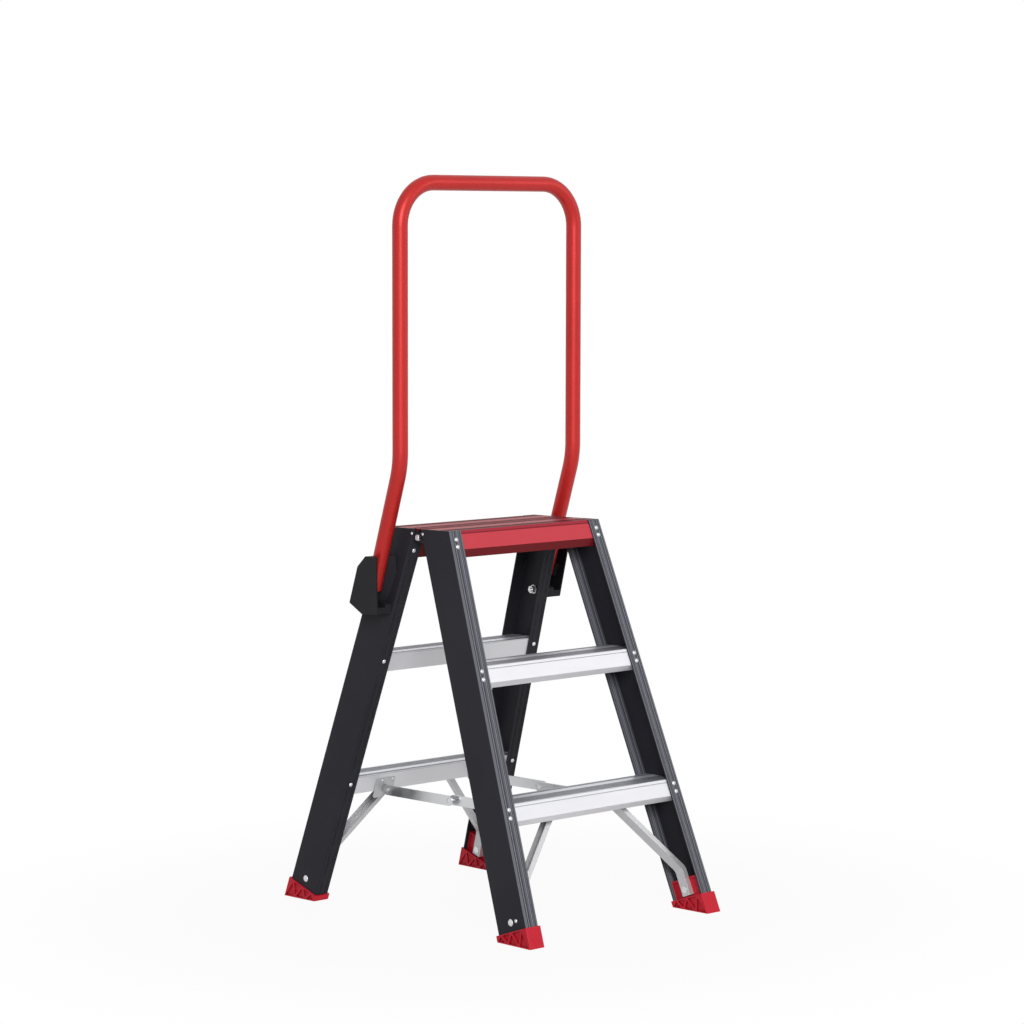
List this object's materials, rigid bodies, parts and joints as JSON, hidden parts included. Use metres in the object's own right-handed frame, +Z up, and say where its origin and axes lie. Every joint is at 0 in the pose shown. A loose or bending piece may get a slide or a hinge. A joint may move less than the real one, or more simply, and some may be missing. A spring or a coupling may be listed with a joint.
{
  "type": "double-sided step ladder",
  "caption": "Folding double-sided step ladder with ribbed treads, a red top platform, bent braces, folding stays and a tubular guard rail that lifts out of side sockets.",
  "frame": {"origin": "on the floor, midway between the four feet, under the hinge axis", "axes": "+Z up, +X to the right along the treads and the hinge axis, +Y to the rear half, which carries the guard rail"},
  "size_m": [0.4716, 0.6886, 1.331],
  "materials": {
    "charcoal_coat": "charcoal satin powder coat",
    "tread_aluminium": "mill finish",
    "brace_aluminium": "mill finish",
    "platform_red": "red anodised, satin",
    "rail_red": "satin powder coat",
    "foot_red": "moulded",
    "black_plastic": "moulded",
    "zinc_steel": "zinc plated",
    "rivet_steel": "bright"
  },
  "bodies": {
    "rear_frame": {"rear_brace_bolts": "zinc_steel", "rear_brace_rivets": "zinc_steel", "rear_hinge_rivets": "rivet_steel", "rear_left_brace": "brace_aluminium", "rear_left_foot": "foot_red", "rear_left_hinge_leaf": "charcoal_coat", "rear_left_stay_bracket": "zinc_steel", "rear_left_stile": "charcoal_coat", "rear_lower_tread": "tread_aluminium", "rear_right_brace": "brace_aluminium", "rear_right_foot": "foot_red", "rear_right_hinge_leaf": "charcoal_coat", "rear_right_stay_bracket": "zinc_steel", "rear_right_stile": "charcoal_coat", "rear_stay_bracket_rivets": "zinc_steel", "rear_stay_pins": "zinc_steel", "rear_top_tread": "platform_red", "rear_tread_rivets": "rivet_steel", "rear_upper_tread": "tread_aluminium", "left_hinge_pin": "zinc_steel", "right_hinge_pin": "zinc_steel", "left_rail_socket": "black_plastic", "right_rail_socket": "black_plastic", "rail_socket_bolts": "zinc_steel", "rail_socket_nuts": "zinc_steel", "rail_socket_washers": "zinc_steel"},
    "front_frame": {"front_brace_bolts": "zinc_steel", "front_brace_rivets": "zinc_steel", "front_foot_rivets": "rivet_steel", "front_hinge_rivets": "rivet_steel", "front_left_brace": "brace_aluminium", "front_left_foot": "foot_red", "front_left_hinge_leaf": "charcoal_coat", "front_left_stay_bracket": "zinc_steel", "front_left_stile": "charcoal_coat", "front_lower_tread": "tread_aluminium", "front_right_brace": "brace_aluminium", "front_right_foot": "foot_red", "front_right_hinge_leaf": "charcoal_coat", "front_right_stay_bracket": "zinc_steel", "front_right_stile": "charcoal_coat", "front_stay_bracket_rivets": "zinc_steel", "front_stay_pins": "zinc_steel", "front_top_tread": "platform_red", "front_tread_rivets": "rivet_steel", "front_upper_tread": "tread_aluminium"},
    "guard_rail": {"guard_rail": "rail_red", "left_rail_plug": "black_plastic", "right_rail_plug": "black_plastic"},
    "front_left_stay": {"front_left_stay": "zinc_steel", "front_left_stay_rivet": "zinc_steel"},
    "front_right_stay": {"front_right_stay": "zinc_steel", "front_right_stay_rivet": "zinc_steel"},
    "rear_left_stay": {"rear_left_stay": "zinc_steel", "rear_left_stay_rivet": "zinc_steel"},
    "rear_right_stay": {"rear_right_stay": "zinc_steel", "rear_right_stay_rivet": "zinc_steel"}
  },
  "joints": [
    {"name": "frame_fold", "type": "hinge", "parent": "rear_frame", "child": "front_frame", "pos_m": [0, 0, 0.686], "axis": [1, 0, 0], "range_deg": [0, 39.4]},
    {"name": "guard_rail_lift", "type": "slide", "parent": "rear_frame", "child": "guard_rail", "axis": [0, -0.3371, 0.9415], "range_m": [0, 0.085]},
    {"name": "rear_left_stay_swing", "type": "hinge", "parent": "rear_frame", "child": "rear_left_stay", "pos_m": [-0.1154, 0.1764, 0.204], "axis": [1, 0, 0], "range_deg": [-69.18, 0]},
    {"name": "front_left_stay_swing", "type": "hinge", "parent": "front_frame", "child": "front_left_stay", "pos_m": [-0.1046, -0.1764, 0.204], "axis": [1, 0, 0], "range_deg": [0, 69.18]},
    {"name": "rear_right_stay_swing", "type": "hinge", "parent": "rear_frame", "child": "rear_right_stay", "pos_m": [0.1154, 0.1764, 0.204], "axis": [1, 0, 0], "range_deg": [-69.18, 0]},
    {"name": "front_right_stay_swing", "type": "hinge", "parent": "front_frame", "child": "front_right_stay", "pos_m": [0.1046, -0.1764, 0.204], "axis": [1, 0, 0], "range_deg": [0, 69.18]}
  ],
  "couplings": [
    {"joint": "rear_left_stay_swing", "follows": "frame_fold", "ratio": -1.7546},
    {"joint": "front_left_stay_swing", "follows": "frame_fold", "ratio": 1.7546},
    {"joint": "rear_right_stay_swing", "follows": "frame_fold", "ratio": -1.7546},
    {"joint": "front_right_stay_swing", "follows": "frame_fold", "ratio": 1.7546}
  ]
}
